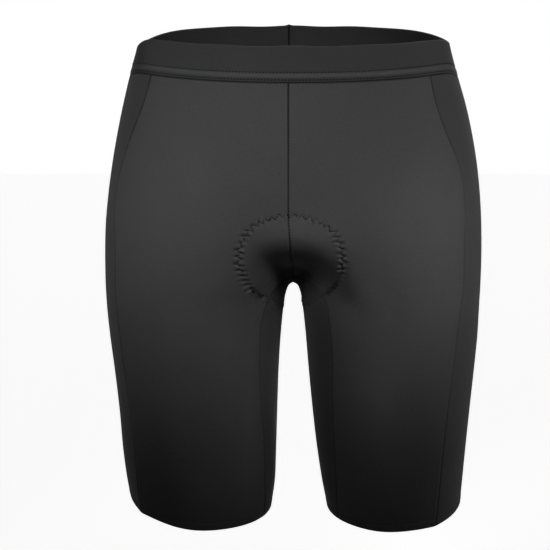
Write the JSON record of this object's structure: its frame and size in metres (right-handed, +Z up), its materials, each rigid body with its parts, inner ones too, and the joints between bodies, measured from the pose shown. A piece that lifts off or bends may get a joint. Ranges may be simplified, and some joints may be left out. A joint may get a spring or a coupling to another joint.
{
  "type": "triathlon shorts",
  "caption": "Close-fitting knit sport shorts to mid thigh in their worn, hollow form, with panelled legs, a plain waistband and a stitched-in seat pad.",
  "frame": {"origin": "the middle of the waist opening, level with the rim, where the wearer's waist holds the shorts", "axes": "+Z up the body, the front of the shorts faces -Y, the wearer's left is +X"},
  "size_m": [0.3438, 0.2473, 0.4411],
  "materials": {
    "knit": "smooth elastic warp knit with a faint satin sheen",
    "side_knit": "smooth elastic warp knit, matt",
    "band_knit": "doubled elastic knit, matt",
    "pad_fleece": "brushed knit over foam, matt"
  },
  "bodies": {
    "root": {"front_left": "knit", "front_right": "knit", "back_left": "knit", "back_right": "knit", "side_left": "side_knit", "side_right": "side_knit", "inner_left": "side_knit", "inner_right": "side_knit", "waistband": "band_knit", "seat_pad": "pad_fleece"}
  },
  "joints": []
}
